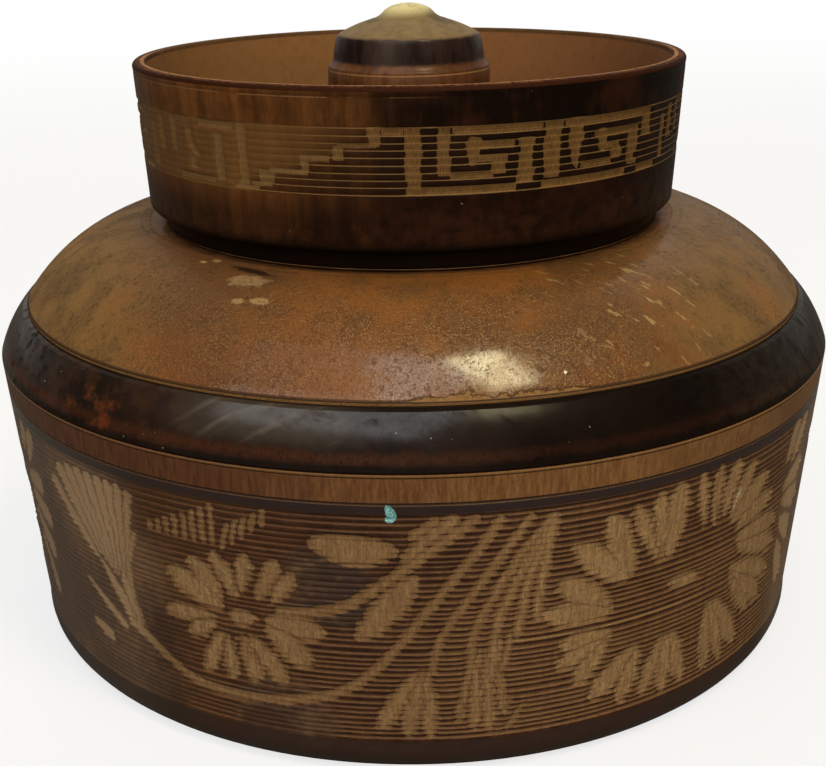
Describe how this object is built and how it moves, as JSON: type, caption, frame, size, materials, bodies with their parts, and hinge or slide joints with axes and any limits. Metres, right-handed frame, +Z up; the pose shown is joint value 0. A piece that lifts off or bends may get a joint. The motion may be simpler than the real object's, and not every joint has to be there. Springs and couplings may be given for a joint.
{
  "type": "carved jewelry box",
  "caption": "Round turned wooden trinket box with a wide shoulder, a scraped flower band, and a cup-shaped lift-off lid with a fret band and a central knob.",
  "frame": {"origin": "centre of the base, on the surface that the box stands on", "axes": "+Z up along the turning axis; -Y is the side seen in the picture, +X is to its right"},
  "size_m": [0.1696, 0.1696, 0.1228],
  "materials": {
    "body_wood": "dark lacquer with scraped pale ornament, satin",
    "lid_wood": "dark lacquer with a scraped pale fret band, satin",
    "knob_wood": "near-black lacquered band, bare worn top, satin"
  },
  "bodies": {
    "box": {"body": "body_wood"},
    "lid": {"lid": "lid_wood", "knob": "knob_wood"}
  },
  "joints": [
    {"name": "lid_lift", "type": "slide", "parent": "box", "child": "lid", "axis": [0, 0, 1], "range_m": [0, 0.08]}
  ]
}
